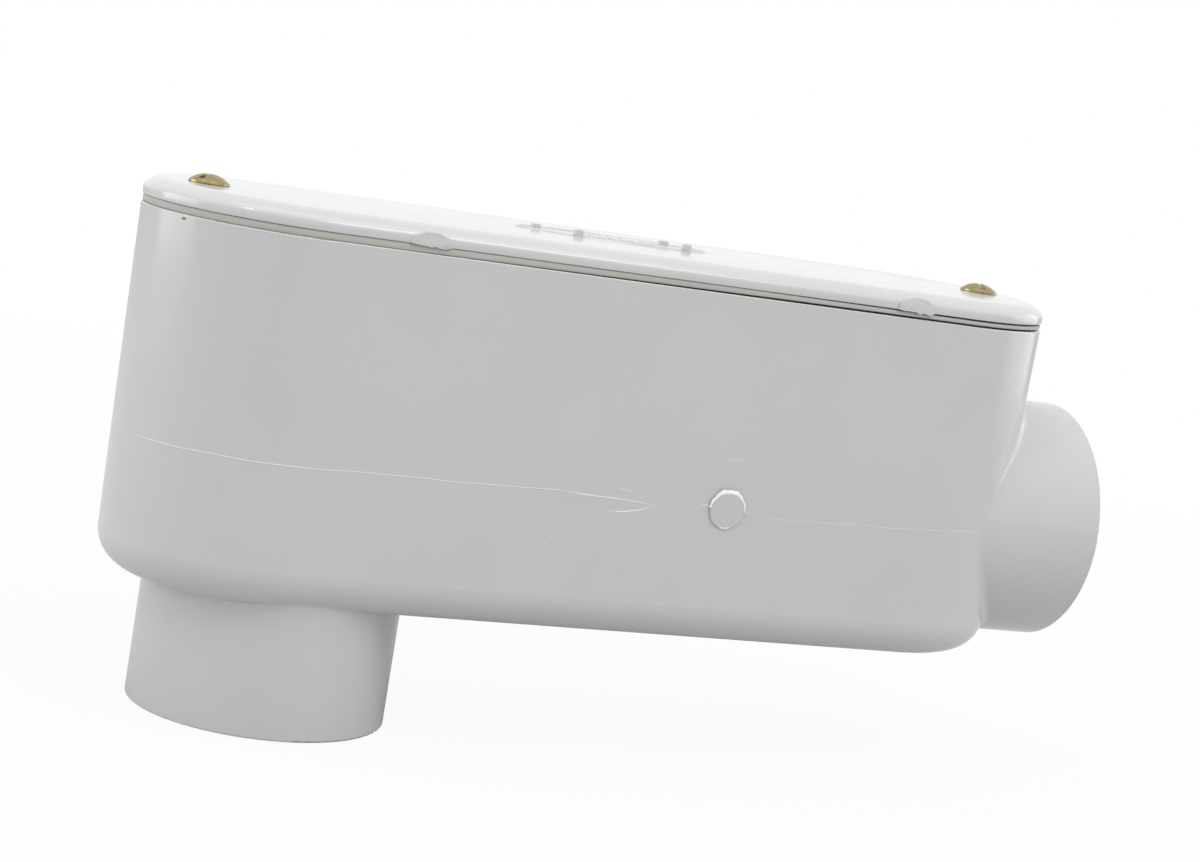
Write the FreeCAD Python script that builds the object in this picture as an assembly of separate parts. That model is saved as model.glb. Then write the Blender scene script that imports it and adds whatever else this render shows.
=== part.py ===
import FreeCAD, Part
import math
import os

from FreeCAD import Vector

# Back-outlet conduit body (LB pattern) for 2 inch rigid PVC conduit, with its cover.
# All sizes are millimetres and degrees. The origin is the centre of the back hub's
# mouth: one conduit leaves along -Z, the other along +X, and the cover faces +Z.
# "Back" names the end over the back hub, "front" the end that carries the end hub.

# --- Conduit sockets --------------------------------------------------------------
socket_diameter = 60.5
socket_depth = 30.0
socket_lead_in = 0.5
hub_wall = 4.05
hub_lip_radius = 0.6
back_hub_root_radius = 1.0
end_hub_root_radius = 3.0
stop_shoulder_width = 4.0
throat_edge_radius = 1.5
throat_collar_wall = 9.75
throat_collar_length = 6.0
end_hub_projection = 17.8
end_hub_rise = 2.9

# --- Housing: a deep obround box, open at the top ------------------------------------
back_overhang = 48.2
housing_length = 260.7
housing_side_step = 5.05
rim_height = 128.5
underside_height = 34.2
wall = 4.0
floor_thickness = 4.0
draft_angle = 0.5
underside_edge_radius = 10.0
floor_corner_radius = 6.0
rim_edge_radius = 0.35

# --- Cover, gasket and what is moulded on the cover -----------------------------------
gasket_thickness = 2.0
gasket_setback = 0.25
gasket_pad_radius = 8.0
cover_thickness = 5.0
cover_flank_height = 2.3
cover_bevel_width = 3.0
cover_bevel_radius = 1.2
cover_flank_radius = 0.7
cover_land_width = 8.0
cover_recess_depth = 1.8
locating_rib_thickness = 1.8
locating_rib_depth = 2.0
locating_rib_clearance = 0.7
pip_diameter = 2.7
pip_height = 1.8
pip_edge_radius = 0.3
pip_positions = [(62.0, 10.5), (71.5, 4.5), (99.5, 12.0), (103.5, 5.0)]
gate_tab_width = 10.4
gate_tab_height = 3.3
gate_tab_pitch = 140.0
gate_tab_proud = 0.3
gate_tab_length = 4.0

# --- Trimmed sprue on the side wall -----------------------------------------------------
sprue_diameter = 10.0
sprue_proud_top = 1.1
sprue_proud_bottom = 0.35
sprue_edge = 0.6
sprue_from_centre = 26.5

# --- Cover screws, their bosses and their inserts ----------------------------------------
screw_inset = 15.5
screw_shank_diameter = 5.4
screw_length = 19.0
screw_tip_chamfer = 0.8
screw_head_diameter = 10.6
screw_head_flank = 0.9
screw_head_height = 2.9
screw_slot_width = 1.4
screw_slot_depth = 1.3
back_slot_angle = 62.0
front_slot_angle = 74.0
screw_hole_clearance = 0.3
boss_radius = 6.2
boss_length = 20.0
boss_gusset_length = 10.0
boss_bury = 2.0
insert_diameter = 7.8
insert_waist_diameter = 6.8
insert_waist_length = 1.6
insert_length = 9.5
insert_sink = 0.3
insert_thread_clearance = 0.05
screw_tip_room = 1.5

# --- Places that follow from the sizes above ---------------------------------------------
OVER = 1.0  # how far a cutting tool runs past the face it cuts
ON_SURFACE = 0.01  # how near a point lies to a surface that it is on
hub_outer_diameter = socket_diameter + 2 * hub_wall
throat_diameter = socket_diameter - 2 * stop_shoulder_width
throat_collar_diameter = throat_diameter + 2 * throat_collar_wall
end_hub_height = underside_height + end_hub_rise + hub_outer_diameter / 2
housing_width = hub_outer_diameter + 2 * housing_side_step
back_end_x = -back_overhang
front_end_x = back_end_x + housing_length
end_hub_mouth_x = front_end_x + end_hub_projection
rim_radius = housing_width / 2
back_centre_x = back_end_x + rim_radius
front_centre_x = front_end_x - rim_radius
middle_x = (back_end_x + front_end_x) / 2
floor_height = underside_height + floor_thickness
cover_base_height = rim_height + gasket_thickness
cover_top_height = cover_base_height + cover_thickness
screw_hole_radius = screw_shank_diameter / 2 + screw_hole_clearance
insert_top = rim_height - insert_sink
throat_inner_x = end_hub_mouth_x - socket_depth - throat_collar_length
UP = Vector(0, 0, 1)


def rounded_face(corners):
    """Face in the XZ plane through (x, z, radius) corners, each rounded by its radius."""
    points = [Vector(x, 0, z) for x, z, radius in corners]
    starts = []
    ends = []
    middles = []
    for index, (x, z, radius) in enumerate(corners):
        corner = points[index]
        back = (points[index - 1] - corner).normalize()
        ahead = (points[(index + 1) % len(points)] - corner).normalize()
        half_angle = back.getAngle(ahead) / 2
        reach = radius / math.tan(half_angle)
        starts.append(corner + back * reach)
        ends.append(corner + ahead * reach)
        inward = (back + ahead).normalize() if radius else Vector()
        middles.append(corner + inward * (radius / math.sin(half_angle) - radius))
    edges = []
    for index, (x, z, radius) in enumerate(corners):
        if radius:
            edges.append(Part.Arc(starts[index], middles[index], ends[index]).toShape())
        following = starts[(index + 1) % len(points)]
        edges.append(Part.makeLine(ends[index], following))
    return Part.Face(Part.Wire(edges))


def turned(corners):
    """Solid of revolution about Z from (radius, height, corner radius) corners."""
    return rounded_face(corners).revolve(Vector(), UP, 360)


def obround(corners):
    """Solid with the housing's obround plan.

    The corners are (distance from the spine, height, corner radius). The section runs
    along both sides of the spine and turns half round at the back and front centres.
    """
    section = rounded_face(corners)
    far_side = section.copy()
    far_side.rotate(Vector(), UP, 90)
    far_side.translate(Vector(back_centre_x, 0, 0))
    near_side = section.copy()
    near_side.rotate(Vector(), UP, -90)
    near_side.translate(Vector(back_centre_x, 0, 0))
    along = Vector(front_centre_x - back_centre_x, 0, 0)
    back_end = far_side.revolve(Vector(back_centre_x, 0, 0), UP, 180)
    front_end = near_side.copy()
    front_end.translate(along)
    front_end = front_end.revolve(Vector(front_centre_x, 0, 0), UP, 180)
    pieces = [far_side.extrude(along), near_side.extrude(along), front_end]
    return back_end.multiFuse(pieces).removeSplitter()


def half_width_at(height):
    """Outer half width of the housing at a height: the walls lean in towards the underside."""
    return rim_radius - math.tan(math.radians(draft_angle)) * (rim_height - height)


def housing_outside():
    """Solid block of the housing's outer form."""
    return obround([
        (0, underside_height, 0),
        (half_width_at(underside_height), underside_height, underside_edge_radius),
        (rim_radius, rim_height, rim_edge_radius),
        (0, rim_height, 0),
    ])


def housing_cavity():
    """The wiring chamber, open through the rim."""
    top = rim_height + OVER
    return obround([
        (0, floor_height, 0),
        (half_width_at(floor_height) - wall, floor_height, floor_corner_radius),
        (half_width_at(top) - wall, top, 0),
        (0, top, 0),
    ])


def hub_outside(length):
    """Hub barrel, mouth at the origin, running inwards along +Z."""
    radius = hub_outer_diameter / 2
    return turned([(0, 0, 0), (radius, 0, hub_lip_radius), (radius, length, 0), (0, length, 0)])


def hub_bore(length):
    """What is bored out of a hub: lead-in, socket, stop shoulder and rounded throat edge."""
    socket_radius = socket_diameter / 2
    throat_radius = throat_diameter / 2
    bellmouth_radius = throat_radius + throat_edge_radius
    edge_centre = Vector(0, 0, length - throat_edge_radius)
    bellmouth = Part.makeTorus(bellmouth_radius, throat_edge_radius, edge_centre)
    bore = turned([
        (0, -OVER, 0),
        (socket_radius + socket_lead_in + OVER, -OVER, 0),
        (socket_radius, socket_lead_in, 0),
        (socket_radius, socket_depth, 0),
        (throat_radius, socket_depth, 0),
        (throat_radius, length + OVER, 0),
        (0, length + OVER, 0),
    ])
    flare = Part.makeCylinder(bellmouth_radius, throat_edge_radius + OVER, edge_centre)
    return bore.fuse(flare.cut(bellmouth))


def to_end_hub(shape):
    """Move a shape made at the back hub, inwards along +Z, to the end hub."""
    shape.rotate(Vector(), Vector(0, 1, 0), -90)
    shape.translate(Vector(end_hub_mouth_x, 0, end_hub_height))
    return shape


def throat_collar():
    """Ring round the end hub's throat, inside the housing's front end."""
    length = front_end_x - throat_inner_x
    place = Vector(throat_inner_x, 0, end_hub_height)
    ring = Part.makeCylinder(throat_collar_diameter / 2, length, place, Vector(1, 0, 0))
    return ring.common(housing_outside())


def screw_places():
    """Screw axis x and the direction from it towards the nearest end, back then front."""
    return [(back_end_x + screw_inset, -1), (front_end_x - screw_inset, 1)]


def screw_boss(axis_x, towards_end):
    """Boss that hangs from the rim inside one end, carried by a sloping gusset."""
    bottom = rim_height - boss_length
    reach = screw_inset - boss_bury
    inner = axis_x - towards_end * boss_radius
    outer = axis_x + towards_end * reach
    side = Part.Face(Part.makePolygon([
        Vector(inner, -boss_radius, rim_height),
        Vector(inner, -boss_radius, bottom),
        Vector(outer, -boss_radius, bottom - boss_gusset_length),
        Vector(outer, -boss_radius, rim_height),
        Vector(inner, -boss_radius, rim_height),
    ]))
    wedge = side.extrude(Vector(0, 2 * boss_radius, 0))
    height = boss_length + boss_gusset_length
    base = rim_height - height
    post = Part.makeCylinder(boss_radius, height, Vector(axis_x, 0, base))
    web = Part.makeBox(reach, 2 * boss_radius, height, Vector(min(axis_x, outer), -boss_radius, base))
    return post.fuse(web).common(wedge)


def screw_insert_blank():
    """Outer form of an insert with its top face at the origin: two bands and a waist."""
    radius = insert_diameter / 2
    waist_radius = insert_waist_diameter / 2
    waist_top = -(insert_length - insert_waist_length) / 2
    waist_bottom = waist_top - insert_waist_length
    return turned([
        (0, 0, 0),
        (radius, 0, 0),
        (radius, waist_top, 0),
        (waist_radius, waist_top, 0),
        (waist_radius, waist_bottom, 0),
        (radius, waist_bottom, 0),
        (radius, -insert_length, 0),
        (0, -insert_length, 0),
    ])


def screw_pocket(axis_x):
    """Insert seat in a boss, with the blind hole that the screw's tip runs into."""
    tip = cover_top_height - screw_length - screw_tip_room
    blank = screw_insert_blank()
    blank.translate(Vector(axis_x, 0, insert_top))
    hole = Part.makeCylinder(screw_hole_radius, rim_height + OVER - tip, Vector(axis_x, 0, tip))
    return blank.fuse(hole)


def trimmed_sprue():
    """Round stub left on the near side wall where the moulding was cut from its runner."""
    radius = sprue_diameter / 2
    root = half_width_at(end_hub_height) - wall / 2
    length = wall / 2 + sprue_proud_top
    stub = turned([(0, 0, 0), (radius, 0, 0), (radius, length, sprue_edge), (0, length, 0)])
    stub.rotate(Vector(), Vector(1, 0, 0), 90)
    stub.translate(Vector(middle_x + sprue_from_centre, -root, end_hub_height))
    tilt = math.degrees(math.atan2(sprue_proud_top - sprue_proud_bottom, sprue_diameter))
    side = sprue_diameter + 2 * OVER
    knife = Part.makeBox(side, side, side, Vector(-side / 2, -side, -side / 2))
    knife.rotate(Vector(), Vector(1, 0, 0), tilt)
    face = root + wall / 2 + (sprue_proud_top + sprue_proud_bottom) / 2
    knife.translate(Vector(middle_x + sprue_from_centre, -face, end_hub_height))
    return stub.cut(knife)


def hub_root_edges(block, mouth, inward):
    """Edges where a hub's barrel meets the housing: on the barrel and past its lip."""
    roots = []
    for edge in block.Edges:
        first, last = edge.ParameterRange
        samples = [edge.valueAt(first + (last - first) * part / 4) - mouth for part in range(5)]
        off_barrel = [abs(point.cross(inward).Length - hub_outer_diameter / 2) for point in samples]
        nearest = min(point.dot(inward) for point in samples)
        if max(off_barrel) < ON_SURFACE and nearest > hub_lip_radius + OVER:
            roots.append(edge)
    return roots


def housing_with_hubs():
    """Outer form of the whole moulding, with the hubs blended into the housing."""
    end_hub_length = end_hub_mouth_x - front_centre_x
    block = housing_outside().multiFuse([hub_outside(floor_height), to_end_hub(hub_outside(end_hub_length))])
    block = block.makeFillet(back_hub_root_radius, hub_root_edges(block, Vector(), UP))
    end_mouth = Vector(end_hub_mouth_x, 0, end_hub_height)
    return block.makeFillet(end_hub_root_radius, hub_root_edges(block, end_mouth, Vector(-1, 0, 0)))


def make_body():
    """One-piece moulded housing with both hubs, screw bosses and throat collar."""
    shell = housing_with_hubs().cut(housing_cavity())
    bosses = [screw_boss(axis_x, towards_end) for axis_x, towards_end in screw_places()]
    solid = shell.multiFuse([throat_collar(), trimmed_sprue()] + bosses)
    pockets = [screw_pocket(axis_x) for axis_x, towards_end in screw_places()]
    bores = [hub_bore(floor_height), to_end_hub(hub_bore(end_hub_mouth_x - throat_inner_x))]
    return solid.cut(bores + pockets).removeSplitter()


def flat_ring(outer_radius, inner_radius, bottom, top):
    """Obround ring of rectangular section."""
    return obround([
        (inner_radius, bottom, 0),
        (outer_radius, bottom, 0),
        (outer_radius, top, 0),
        (inner_radius, top, 0),
    ])


def flat_plate(radius, bottom, top):
    """Obround plate with a square edge."""
    return obround([(0, bottom, 0), (radius, bottom, 0), (radius, top, 0), (0, top, 0)])


def screw_pads(radius, bottom, top):
    """Pads round both screws, running out to the ends of the obround plan."""
    pads = []
    for axis_x, towards_end in screw_places():
        start_x = min(axis_x, axis_x + towards_end * screw_inset)
        pad = Part.makeCylinder(radius, top - bottom, Vector(axis_x, 0, bottom))
        web = Part.makeBox(screw_inset, 2 * radius, top - bottom, Vector(start_x, -radius, bottom))
        pads.append(pad.fuse(web))
    return pads


def screw_holes(radius, bottom, top):
    """Round cutters on both screw axes."""
    return [Part.makeCylinder(radius, top - bottom, Vector(axis_x, 0, bottom))
            for axis_x, towards_end in screw_places()]


def make_gasket():
    """Sheet gasket: a ring on the rim that widens into a pad over each boss."""
    outer_radius = rim_radius - gasket_setback
    ring = flat_ring(outer_radius, rim_radius - wall, rim_height, cover_base_height)
    plate = flat_plate(outer_radius, rim_height, cover_base_height)
    pads = [pad.common(plate) for pad in screw_pads(gasket_pad_radius, rim_height, cover_base_height)]
    holes = screw_holes(screw_hole_radius, rim_height - OVER, cover_base_height + OVER)
    return ring.multiFuse(pads).cut(holes).removeSplitter()


def cover_blank():
    """The cover's outer form: upright flank, sloping bevel and flat top."""
    flank_top = cover_base_height + cover_flank_height
    return obround([
        (0, cover_base_height, 0),
        (rim_radius, cover_base_height, 0),
        (rim_radius, flank_top, cover_flank_radius),
        (rim_radius - cover_bevel_width, cover_top_height, cover_bevel_radius),
        (0, cover_top_height, 0),
    ])


def cover_recess():
    """Hollow under the cover, inside the land that presses on the gasket."""
    top = cover_base_height + cover_recess_depth
    hollow = flat_plate(rim_radius - cover_land_width, cover_base_height - OVER, top)
    return hollow.cut(screw_pads(gasket_pad_radius, cover_base_height - OVER, top))


def locating_ribs():
    """Two ribs under the cover that drop inside the housing's side walls."""
    outer_radius = rim_radius - wall - locating_rib_clearance
    bottom = rim_height - locating_rib_depth
    height = cover_base_height - bottom
    ring = flat_ring(outer_radius, outer_radius - locating_rib_thickness, bottom, cover_base_height)
    margin = screw_inset + boss_radius + gasket_pad_radius
    length = housing_length - 2 * margin
    window = Part.makeBox(length, housing_width, height, Vector(back_end_x + margin, -rim_radius, bottom))
    return ring.common(window)


def cover_pips():
    """Four short round pips on the middle of the cover."""
    radius = pip_diameter / 2
    pips = []
    for x, y in pip_positions:
        pip = turned([(0, -pip_height, 0), (radius, -pip_height, 0), (radius, pip_height, pip_edge_radius),
                      (0, pip_height, 0)])
        pip.translate(Vector(x, y, cover_top_height))
        pips.append(pip)
    return pips


def gate_tabs():
    """Half-round tabs on the near edge of the cover, where two runners were cut off."""
    half_width = gate_tab_width / 2
    radius = (half_width ** 2 + gate_tab_height ** 2) / (2 * gate_tab_height)
    length = gate_tab_length + gate_tab_proud
    tabs = []
    for side in (-1, 1):
        place = Vector(middle_x + side * gate_tab_pitch / 2, -rim_radius - gate_tab_proud,
                       cover_base_height + gate_tab_height - radius)
        rod = Part.makeCylinder(radius, length, place, Vector(0, 1, 0))
        below = Part.makeBox(2 * radius, length + 2 * OVER, 2 * radius,
                             Vector(place.x - radius, place.y - OVER, cover_base_height - 2 * radius))
        tabs.append(rod.cut(below))
    return tabs


def make_cover():
    """Moulded cover with ribs below, and pips and trimmed gate tabs outside."""
    shell = cover_blank().cut(cover_recess())
    solid = shell.multiFuse(locating_ribs().Solids + cover_pips() + gate_tabs())
    holes = screw_holes(screw_hole_radius, cover_base_height - OVER, cover_top_height + OVER)
    return solid.cut(holes).removeSplitter()


def make_screw(axis_x, slot_angle):
    """Slotted machine screw with a low domed head, seated on the cover."""
    head_radius = screw_head_diameter / 2
    shank_radius = screw_shank_diameter / 2
    dome_rise = screw_head_height - screw_head_flank
    dome_radius = (head_radius ** 2 + dome_rise ** 2) / (2 * dome_rise)
    flank = Part.makeCylinder(head_radius, screw_head_height)
    ball = Part.makeSphere(dome_radius, Vector(0, 0, screw_head_height - dome_radius))
    head = flank.common(ball)
    shank = turned([
        (0, -screw_length, 0),
        (shank_radius - screw_tip_chamfer, -screw_length, 0),
        (shank_radius, screw_tip_chamfer - screw_length, 0),
        (shank_radius, screw_head_flank, 0),
        (0, screw_head_flank, 0),
    ])
    slot_floor = screw_head_height - screw_slot_depth
    slot_length = screw_head_diameter + 2 * OVER
    slot = Part.makeBox(slot_length, screw_slot_width, screw_head_height,
                        Vector(-slot_length / 2, -screw_slot_width / 2, slot_floor))
    slot.rotate(Vector(), UP, slot_angle)
    screw = head.fuse(shank).removeSplitter().cut(slot)
    screw.translate(Vector(axis_x, 0, cover_top_height))
    return screw


def make_insert(axis_x):
    """Brass thread insert, sunk a little below the rim in its boss."""
    radius = screw_shank_diameter / 2 + insert_thread_clearance
    bore = Part.makeCylinder(radius, insert_length + 2 * OVER, Vector(0, 0, -insert_length - OVER))
    insert = screw_insert_blank().cut(bore)
    insert.translate(Vector(axis_x, 0, insert_top))
    return insert


def export(nodes):
    """Write one STEP file for each node and print what it measures."""
    os.makedirs("parts", exist_ok=True)
    for name, shape in nodes.items():
        box = shape.BoundBox
        print(name, "solids", len(shape.Solids), "valid", shape.isValid(), "volume", round(shape.Volume, 1),
              "x", round(box.XMin, 2), round(box.XMax, 2), "y", round(box.YMin, 2), round(box.YMax, 2),
              "z", round(box.ZMin, 2), round(box.ZMax, 2))
        shape.exportStep("parts/" + name + ".step")


def main():
    back_x = back_end_x + screw_inset
    front_x = front_end_x - screw_inset
    export({
        "body": make_body(),
        "gasket": make_gasket(),
        "cover": make_cover(),
        "cover_screw_back": make_screw(back_x, back_slot_angle),
        "cover_screw_front": make_screw(front_x, front_slot_angle),
        "screw_insert_back": make_insert(back_x),
        "screw_insert_front": make_insert(front_x),
    })


main()
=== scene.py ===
# %% [markdown]
# # A PVC conduit body, dressed for the studio
# The object is a moulded fitting that turns a run of plastic conduit through a right angle
# and has a cover, so that wires can be pulled through and reached later. Its solids are
# already made, so this lesson adds what Blender is good at: finishes, light, and the
# small things that a mould, a cutter and a screwdriver leave behind.

# %% Load the solids
import math

import bmesh
import bpy
from mathutils import Matrix, Vector, noise
from mathutils.geometry import tessellate_polygon


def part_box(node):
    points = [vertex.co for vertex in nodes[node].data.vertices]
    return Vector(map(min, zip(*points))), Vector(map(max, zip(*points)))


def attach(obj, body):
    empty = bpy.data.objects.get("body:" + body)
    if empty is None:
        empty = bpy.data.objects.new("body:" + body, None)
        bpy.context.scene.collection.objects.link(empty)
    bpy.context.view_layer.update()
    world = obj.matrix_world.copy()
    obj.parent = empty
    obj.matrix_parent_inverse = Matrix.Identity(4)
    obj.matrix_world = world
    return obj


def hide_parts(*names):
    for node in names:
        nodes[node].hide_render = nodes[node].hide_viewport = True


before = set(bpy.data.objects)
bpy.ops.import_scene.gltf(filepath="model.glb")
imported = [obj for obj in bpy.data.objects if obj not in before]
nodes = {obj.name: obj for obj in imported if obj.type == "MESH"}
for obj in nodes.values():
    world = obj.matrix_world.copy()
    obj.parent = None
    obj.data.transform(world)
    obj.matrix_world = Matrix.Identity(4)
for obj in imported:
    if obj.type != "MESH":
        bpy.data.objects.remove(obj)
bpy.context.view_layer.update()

MM = 0.001
print("nodes", sorted(nodes))

# %% [markdown]
# Every place in the scene follows from the solids' own boxes. The gasket starts at the
# housing's rim, the cover starts where the gasket ends, and the obround plan that all
# three share is a rectangle with a half circle at each end. Typing the places in again
# would be quicker, but they would part from the solids as soon as a size changed.

# %% Places that the other cells need
gasket_low, gasket_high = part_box("gasket")
cover_low, cover_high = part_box("cover")
body_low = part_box("body")[0]
rim_height = gasket_low.z
cover_base = gasket_high.z
cover_thickness = 5.0 * MM
cover_top = cover_base + cover_thickness
rim_radius = cover_high.y
back_end = cover_low.x
front_end = cover_high.x
back_centre = back_end + rim_radius
front_centre = front_end - rim_radius
middle = (back_end + front_end) / 2
screw_inset = 15.5 * MM
back_screw = back_end + screw_inset
front_screw = front_end - screw_inset
print("rim height mm", round(rim_height / MM, 2), "rim radius mm", round(rim_radius / MM, 2))

# %% [markdown]
# The camera stands well back with a long lens, a little above the cover, and looks at the
# near side from the back hub's end. It is also rolled, so the part seems to lean. A camera
# looks down its own -Z axis, so its turn is built from three directions, right, up and
# backwards. Euler angles would do, but the roll is harder to read from them.

# %% Camera
camera_place = Vector((-0.20481, -0.64866, 0.17841))
camera_yaw = math.radians(24.147)
camera_pitch = math.radians(-7.633)
camera_roll = math.radians(-9.59)
sensor_width = 36.0
focal_length = 78.28


def camera_turn(yaw, pitch, roll):
    """Rotation whose -Z looks along yaw and pitch, rolled about that line of sight."""
    level = math.cos(pitch)
    ahead = Vector((math.sin(yaw) * level, math.cos(yaw) * level, math.sin(pitch)))
    right = Vector((math.cos(yaw), -math.sin(yaw), 0))
    down = ahead.cross(right)
    rolled_right = right * math.cos(roll) + down * math.sin(roll)
    rolled_up = right * math.sin(roll) - down * math.cos(roll)
    return Matrix((rolled_right, rolled_up, -ahead)).transposed().to_4x4()


lens = bpy.data.cameras.new("long_lens")
lens.sensor_width = sensor_width
lens.lens = focal_length
lens.clip_start = 0.01
camera = bpy.data.objects.new("camera", lens)
camera.matrix_world = (Matrix.Translation(camera_place)
                       @ camera_turn(camera_yaw, camera_pitch, camera_roll))
bpy.context.scene.collection.objects.link(camera)
bpy.context.scene.camera = camera
bpy.context.scene.view_settings.view_transform = "Standard"
aim = Vector((middle, 0, rim_height / 2))
print("camera distance m", round((camera_place - aim).length, 3))

# %% [markdown]
# Three helpers serve every finish. `linear` turns the colour that a swatch card gives,
# an sRGB hex value, into the linear numbers that shaders take. `add` adds one node with
# its settings and its links, so a finish reads from top to bottom as a list, and
# `new_material` gives it an empty tree to be added to.


# %% Colour and node helpers
def linear(hex_colour):
    """Linear RGBA from an sRGB hex string such as "c0c2c2"."""
    channels = [int(hex_colour[place:place + 2], 16) / 255 for place in (0, 2, 4)]
    low_end = 0.04045
    rgb = [c / 12.92 if c <= low_end else ((c + 0.055) / 1.055) ** 2.4 for c in channels]
    return (*rgb, 1.0)


def add(tree, kind, links=None, values=None, **settings):
    """Add a node: links and values go to inputs by name or number, settings by name."""
    node = tree.nodes.new(kind)
    for name, value in settings.items():
        if hasattr(node, name):
            setattr(node, name, value)
        else:
            node.inputs[name.replace("_", " ")].default_value = value
    for socket, value in (values or {}).items():
        node.inputs[socket].default_value = value
    for socket, source in (links or {}).items():
        tree.links.new(source, node.inputs[socket])
    return node


def new_material(name):
    """A material with an empty node tree, and that tree."""
    material = bpy.data.materials.new(name)
    material.use_nodes = True
    material.node_tree.nodes.clear()
    return material, material.node_tree


print("linear mid grey", [round(c, 3) for c in linear("808080")])

# %% [markdown]
# The studio is a white room. A plain white world at strength 1 makes a colour render about
# as it is written, and weak soft boxes only shape the form: one overhead and one in front
# for the top and the near side, a small one for the spark on the rolled edge, and two low
# ones for the pale rims down the rounded ends. Strong lamps in a dark world would shape it
# more, but pale plastic would clip to white under them.

# %% World and soft boxes
world = bpy.data.worlds.new("studio")
bpy.context.scene.world = world
world.use_nodes = True
tree = world.node_tree
tree.nodes.clear()
room = add(tree, "ShaderNodeBackground", Color=(1.0, 1.0, 1.0, 1.0), Strength=1.0)
add(tree, "ShaderNodeOutputWorld", {"Surface": room.outputs[0]})


def area_light(name, place, aim, size, power):
    """A rectangular soft box at place, facing aim."""
    light = bpy.data.lights.new(name, "AREA")
    light.shape = "RECTANGLE"
    light.size, light.size_y = size
    light.energy = power
    box = bpy.data.objects.new(name, light)
    box.location = place
    box.rotation_euler = (aim - Vector(place)).to_track_quat("-Z", "Y").to_euler()
    bpy.context.scene.collection.objects.link(box)


area_light("overhead", (0.0, -0.2, 1.2), aim, (1.2, 0.8), 3.5)
area_light("front_key", (0.45, -0.85, 1.15), aim, (0.6, 0.6), 5.0)
area_light("left_spark", (-0.76, -0.41, 1.12), aim, (0.18, 0.18), 1.5)
area_light("left_rim", (-1.2, 0.5, 0.2), aim, (0.9, 0.9), 7.0)
area_light("right_rim", (1.3, 0.1, 0.2), aim, (0.9, 0.9), 3.0)
print("soft boxes", len(bpy.data.lights))

# %% [markdown]
# The floor is a sheet of pale matt paper. For the camera it is mixed with plain white light:
# all of it from 0.8 m away, so that the sheet meets the white world with no horizon, and a
# little less near the part, where the soft shadow has to show. Every other ray sees the grey
# paper alone.

# %% Floor
floor_reach = 6.0
floor_corners = [(-floor_reach, -floor_reach, 0), (floor_reach, -floor_reach, 0),
                 (floor_reach, floor_reach, 0), (-floor_reach, floor_reach, 0)]
floor_mesh = bpy.data.meshes.new("floor")
floor_mesh.from_pydata(floor_corners, [], [(0, 1, 2, 3)])
floor = bpy.data.objects.new("floor", floor_mesh)
floor.location.z = body_low.z - 0.3 * MM
bpy.context.scene.collection.objects.link(floor)

near_part, far_off = 0.2, 0.8
white_near, white_far = 0.93, 1.0
paper, tree = new_material("white_paper_matt")
path = add(tree, "ShaderNodeLightPath")
place = add(tree, "ShaderNodeTexCoord").outputs["Object"]
away = add(tree, "ShaderNodeVectorMath", {0: place}, {1: (middle, 0, 0)}, operation="DISTANCE")
clean = add(tree, "ShaderNodeMapRange", {0: away.outputs["Value"]},
            {1: near_part, 2: far_off, 3: white_near, 4: white_far})
diffuse = add(tree, "ShaderNodeBsdfDiffuse", Color=linear("c4c4c4"))
glow = add(tree, "ShaderNodeEmission", Color=(1, 1, 1, 1), Strength=1.0)
share = add(tree, "ShaderNodeMath", {0: path.outputs["Is Camera Ray"], 1: clean.outputs[0]},
            operation="MULTIPLY")
mix = add(tree, "ShaderNodeMixShader",
          {0: share.outputs[0], 1: diffuse.outputs[0], 2: glow.outputs[0]})
add(tree, "ShaderNodeOutputMaterial", {"Surface": mix.outputs[0]})
floor_mesh.materials.append(paper)
print("floor at mm", round(floor.location.z / MM, 2))

# %% [markdown]
# Rigid PVC leaves the mould with a light grey, hard and fairly shiny skin, so the eye sees
# clear but soft reflections. It is never quite even: the melt cools in soft clouds of tone,
# the skin has a fine orange peel, thick places sink a little, and a grain of burnt resin
# shows here and there. Where a blade took a runner off, the face is dull and scored. One
# function makes the finish for both mouldings, because they differ only in colour, shine
# and the places of those cuts.


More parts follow.
